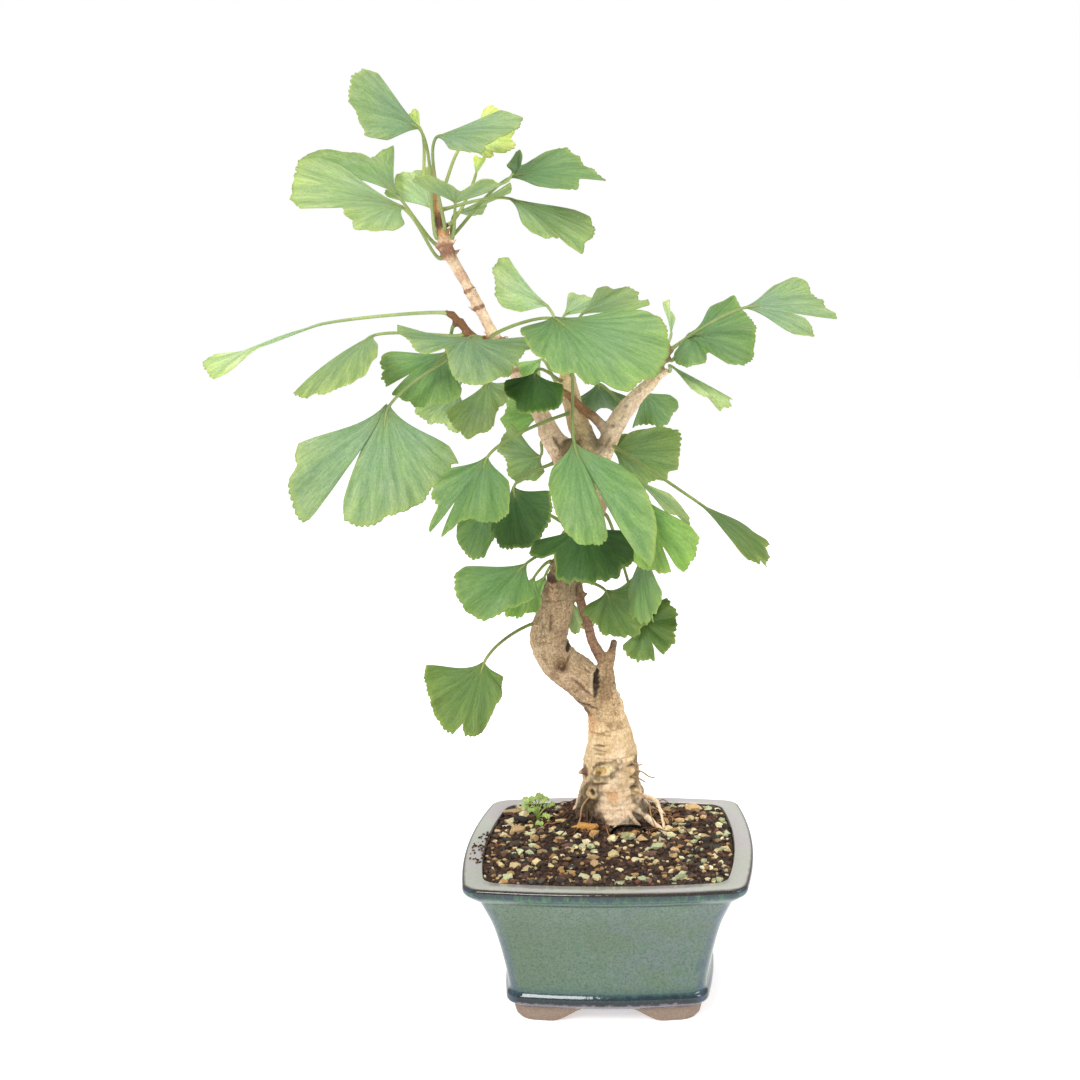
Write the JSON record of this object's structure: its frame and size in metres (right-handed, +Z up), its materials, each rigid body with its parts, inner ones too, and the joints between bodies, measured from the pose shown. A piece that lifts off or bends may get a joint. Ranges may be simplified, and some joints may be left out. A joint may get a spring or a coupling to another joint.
{
  "type": "ginkgo bonsai in a glazed pot",
  "caption": "Small ginkgo tree with a bent trunk and fan-shaped leaves, standing in a soil-filled square glazed ceramic bonsai pot on corner feet.",
  "frame": {"origin": "bottom centre of the whole plant's box, on the surface that the pot's feet stand on", "axes": "+Z up along the trunk; +Y to the back of the pot, along the plant's shortest extent; +X to the right as the front is faced"},
  "size_m": [0.3074, 0.1556, 0.4674],
  "materials": {
    "glaze": "glossy blue-green glaze, darker where it pools, bare brown clay on the feet",
    "soil": "loose dark bonsai soil with pale grit",
    "bark": "pale tan bark, matte, cracked and mottled",
    "leaf": "green leaf with fine veins, satin",
    "weed": "light green leaflets, satin",
    "wire": "dark anodised wire, satin",
    "mesh": "dark moulded plastic"
  },
  "bodies": {
    "root": {"pot": "glaze", "drain_mesh": "mesh", "soil": "soil", "trunk": "bark", "anchor_wire": "wire", "weed": "weed", "leaf_apex_1": "leaf", "leaf_apex_2": "leaf", "leaf_apex_3": "leaf", "leaf_apex_4": "leaf", "leaf_apex_5": "leaf", "leaf_apex_6": "leaf", "leaf_apex_7": "leaf", "leaf_apex_8": "leaf", "leaf_apex_9": "leaf", "leaf_apex_10": "leaf", "leaf_apex_11": "leaf", "leaf_apex_12": "leaf", "leaf_left_1": "leaf", "leaf_left_2": "leaf", "leaf_left_3": "leaf", "leaf_left_4": "leaf", "leaf_left_5": "leaf", "leaf_left_6": "leaf", "leaf_left_7": "leaf", "leaf_mid_1": "leaf", "leaf_mid_2": "leaf", "leaf_mid_3": "leaf", "leaf_mid_4": "leaf", "leaf_mid_5": "leaf", "leaf_mid_6": "leaf", "leaf_mid_7": "leaf", "leaf_mid_8": "leaf", "leaf_mid_9": "leaf", "leaf_mid_10": "leaf", "leaf_mid_11": "leaf", "leaf_mid_12": "leaf", "leaf_mid_13": "leaf", "leaf_mid_14": "leaf", "leaf_right_1": "leaf", "leaf_right_2": "leaf", "leaf_right_3": "leaf", "leaf_right_4": "leaf", "leaf_right_5": "leaf", "leaf_right_6": "leaf", "leaf_right_7": "leaf", "leaf_right_8": "leaf", "leaf_low_1": "leaf", "leaf_low_2": "leaf", "leaf_low_3": "leaf", "leaf_low_4": "leaf", "leaf_low_5": "leaf", "leaf_low_6": "leaf", "leaf_low_7": "leaf", "leaf_low_8": "leaf", "leaf_low_9": "leaf"}
  },
  "joints": []
}
